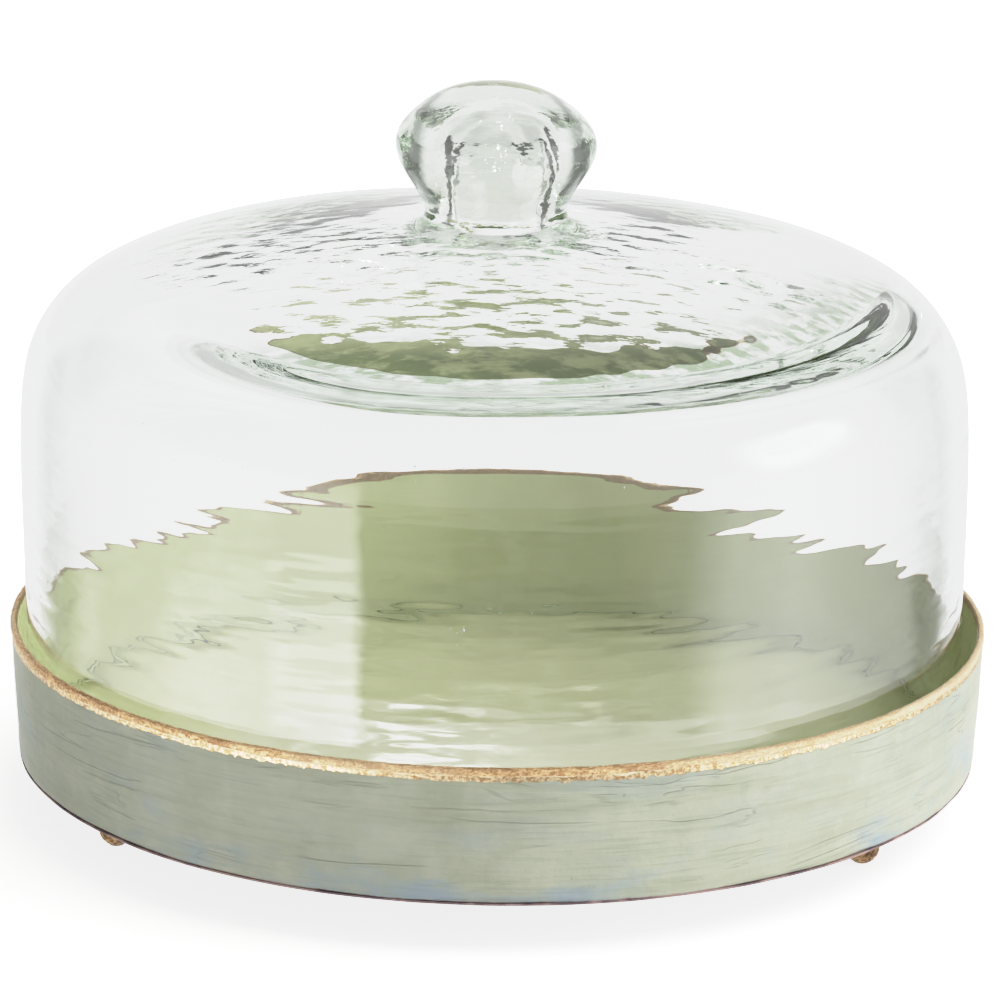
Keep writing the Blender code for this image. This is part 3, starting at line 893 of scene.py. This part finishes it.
def turn_and_rise(net, way):
    """Turn from the line of sight, positive to the right, and elevation, both in degrees."""
    ahead = net.add("ShaderNodeVectorTransform", {0: (0.0, 0.0, 1.0)}, vector_type="VECTOR",
                    convert_from="CAMERA", convert_to="WORLD").outputs[0]
    level = net.vector("NORMALIZE", net.vector("MULTIPLY", ahead, (1.0, 1.0, 0.0)))
    side = net.vector("CROSS_PRODUCT", level, (0.0, 0.0, 1.0))
    along = net.vector("DOT_PRODUCT", way, level)
    across = net.vector("DOT_PRODUCT", way, side)
    upward = net.vector("DOT_PRODUCT", way, (0.0, 0.0, 1.0))
    degrees = 180 / math.pi
    return (net.scale(net.math("ARCTAN2", across, along), by=degrees),
            net.scale(net.math("ARCSINE", upward), by=degrees))


def curve_through(net, value, points):
    """Straight lines through rows of (value, height)."""
    low, high = points[0][0], points[-1][0]
    top = max(height for _, height in points)
    span = net.add("ShaderNodeMapRange", {0: value, 1: low, 2: high})
    node = net.add("ShaderNodeValToRGB")
    node.color_ramp.interpolation = "LINEAR"
    stops = node.color_ramp.elements
    while len(stops) < len(points):
        stops.new(0.5)
    for stop, (at, height) in zip(stops, points):
        stop.position = (at - low) / (high - low)
        stop.color = (height / top, height / top, height / top, 1)
    net.put(node.inputs[0], span)
    return net.scale(node, by=top)


def round_lamp(net, turn, rise, centre, radii, brightness):
    """A soft round lamp in what is mirrored, centred and sized in degrees of (turn, rise)."""
    offsets = []
    for value, middle, radius in zip((turn, rise), centre, radii):
        offset = net.math("DIVIDE", net.math("SUBTRACT", value, middle), radius)
        offsets.append(net.math("POWER", net.math("ABSOLUTE", offset), 3.0))
    return net.scale(net.ramp(net.plus(*offsets), span=(0.35, 1.7), to=(1.0, 0.0)), by=brightness)


def floor_material():
    """Pale to the camera, the surroundings to mirrors and glass, grey to scattered light."""
    net = new_material("pale_floor")
    incoming = net.add("ShaderNodeNewGeometry").outputs["Incoming"]
    turn, rise = turn_and_rise(net, net.vector("MULTIPLY", incoming, (-1.0, -1.0, -1.0)))
    light = curve_through(net, turn, AROUND)
    # the left card's lower edge is brighter
    across_card = net.times(net.ramp(turn, span=(-148, -146)),
                            net.ramp(turn, span=(-128, -122), to=(1, 0)))
    low_left = net.times(net.ramp(rise, span=(-17.0, -17.6)), across_card)
    light = net.plus(light, net.scale(low_left, by=2.8))
    path = net.add("ShaderNodeLightPath").outputs
    plain = net.add("ShaderNodeBsdfDiffuse", {"Color": (0.82, 0.82, 0.82)})
    glow = net.add("ShaderNodeEmission", {"Color": (1, 1, 1), "Strength": 1.15})
    seen = net.add("ShaderNodeAddShader", {0: plain, 1: glow})
    around = net.add("ShaderNodeEmission", {"Color": (0.985, 0.995, 1.01), "Strength": light})
    bounce = net.add("ShaderNodeBsdfDiffuse", {"Color": (0.52, 0.52, 0.52)})
    sharp = net.mix_shader(path["Is Camera Ray"], around, seen)
    net.add("ShaderNodeOutputMaterial",
            {"Surface": net.mix_shader(path["Is Diffuse Ray"], sharp, bounce)})
    return net.owner


def build_floor():
    half, z = 40, -0.0001
    mesh = bpy.data.meshes.new("floor")
    mesh.from_pydata([(-half, -half, z), (half, -half, z), (half, half, z), (-half, half, z)],
                     [], [(0, 1, 2, 3)])
    floor = linked("floor", mesh)
    mesh.materials.append(floor_material())


def build_world():
    """Soft light for diffuse rays, the mirrored surroundings for others, white for the camera."""
    net = NodeNet(bpy.data.worlds.new("studio"))
    bpy.context.scene.world = net.owner
    way = net.add("ShaderNodeTexCoord").outputs["Generated"]
    turn, rise = turn_and_rise(net, way)
    # brighter from the right and above
    soft = net.scale(net.vector("DOT_PRODUCT", way, (0.88, 0.10, 0.28)), by=1.0, plus=0.84)
    upper = curve_through(net, rise, SKY)
    aside = net.math("ABSOLUTE", turn)
    upper = net.times(upper, net.ramp(aside, span=(100, 150), to=(1.0, 1.06)))
    # the dark strips at each side stand up above the horizon
    strip = net.times(net.ramp(aside, span=(33, 42)), net.ramp(aside, span=(60, 68), to=(1, 0)))
    upper = net.times(upper, net.scale(strip, by=-0.84, plus=1.0))
    cards = curve_through(net, turn, [(at, max(0.0, light - 1.5)) for at, light in AROUND])
    cards = net.times(cards, net.ramp(rise, span=(9.0, 3.0)))
    mirrored = net.plus(upper, cards)
    mirrored = net.plus(mirrored, round_lamp(net, turn, rise, centre=(101, 16), radii=(19, 12),
                                             brightness=3.6))
    mirrored = net.plus(mirrored, round_lamp(net, turn, rise, centre=(-1.0, 20.4),
                                             radii=(1.2, 0.7), brightness=11.0))
    path = net.add("ShaderNodeLightPath").outputs
    diffuse = path["Is Diffuse Ray"]
    strength = net.plus(net.times(soft, diffuse),
                        net.times(mirrored, net.math("SUBTRACT", 1.0, diffuse)))
    strength = net.math("MAXIMUM", strength, net.scale(path["Is Camera Ray"], by=1.8))
    background = net.add("ShaderNodeBackground",
                         {"Color": (1.0, 1.0, 1.0), "Strength": strength})
    net.add("ShaderNodeOutputWorld", {"Surface": background})


def softbox(name, place, aim, width, height, radiance):
    """A rectangular lamp that is not seen, mirrored or bent."""
    data = bpy.data.lights.new(name, "AREA")
    data.shape = "RECTANGLE"
    data.size, data.size_y = width, height
    data.energy = radiance * math.pi * width * height
    lamp = bpy.data.objects.new(name, data)
    lamp.location = place
    lamp.rotation_mode = "QUATERNION"
    lamp.rotation_quaternion = (Vector(place) - Vector(aim)).to_track_quat("Z", "Y")
    lamp.visible_camera = lamp.visible_glossy = lamp.visible_transmission = False
    bpy.context.scene.collection.objects.link(lamp)


def build_camera():
    """In front and a little above, turned slightly to the right and rolled."""
    distance = 1.400
    lift, turn, roll = math.radians(15.87), math.radians(1.6), math.radians(0.80)
    aim = Vector((0, 0, BASE_Z + 76.6 * MM))
    back = Vector((math.sin(turn) * math.cos(lift), -math.cos(turn) * math.cos(lift),
                   math.sin(lift)))
    level = Vector((math.cos(turn), math.sin(turn), 0))
    upright = level.cross(-back)
    right = level * math.cos(roll) + upright * math.sin(roll)
    above_it = upright * math.cos(roll) - level * math.sin(roll)
    data = bpy.data.cameras.new("camera")
    data.sensor_width = 36
    data.lens = 163.908
    data.shift_x = 0.0008
    data.clip_start, data.clip_end = 0.05, 200
    camera = bpy.data.objects.new("camera", data)
    columns = (right, above_it, back, aim + back * distance)
    camera.matrix_world = Matrix([*zip(*columns), (0, 0, 0, 1)])
    bpy.context.scene.collection.objects.link(camera)
    bpy.context.scene.camera = camera


# tone curve, rows of (in, out): highlights roll off softly before they reach white
TONE = ((0.30, 0.600), (0.40, 0.740), (0.50, 0.815), (0.60, 0.850), (0.75, 0.885),
        (0.84, 0.965), (0.90, 1.0))


def set_view(view):
    view.view_transform = "Standard"
    view.look = "None"
    view.exposure = 0.0
    view.gamma = 1.0
    view.use_curve_mapping = True
    mapping = view.curve_mapping
    mapping.white_level = (2.0, 2.0, 2.0)
    mapping.clip_max_x = mapping.clip_max_y = 1.0
    combined = mapping.curves[3]
    for row in TONE:
        combined.points.new(*row)
    for point in combined.points:
        point.handle_type = "VECTOR"
    mapping.update()


def set_cycles(cycles):
    """Many bounces, for light through several walls of glass."""
    cycles.max_bounces = 56
    cycles.transmission_bounces = 56
    cycles.glossy_bounces = 24
    cycles.diffuse_bounces = 4
    cycles.transparent_max_bounces = 24
    cycles.caustics_reflective = False
    cycles.caustics_refractive = False
    cycles.sample_clamp_indirect = 8.0


build_floor()
build_world()
softbox("softbox_right", place=(1.30, -0.25, 0.30), aim=(0, 0, 0.10), width=1.00, height=0.58,
        radiance=6.0)
softbox("softbox_back", place=(-0.22, 1.70, 0.74), aim=(0, 0, 0.05), width=0.34, height=0.16,
        radiance=6.0)
build_camera()
set_view(bpy.context.scene.view_settings)
set_cycles(bpy.context.scene.cycles)
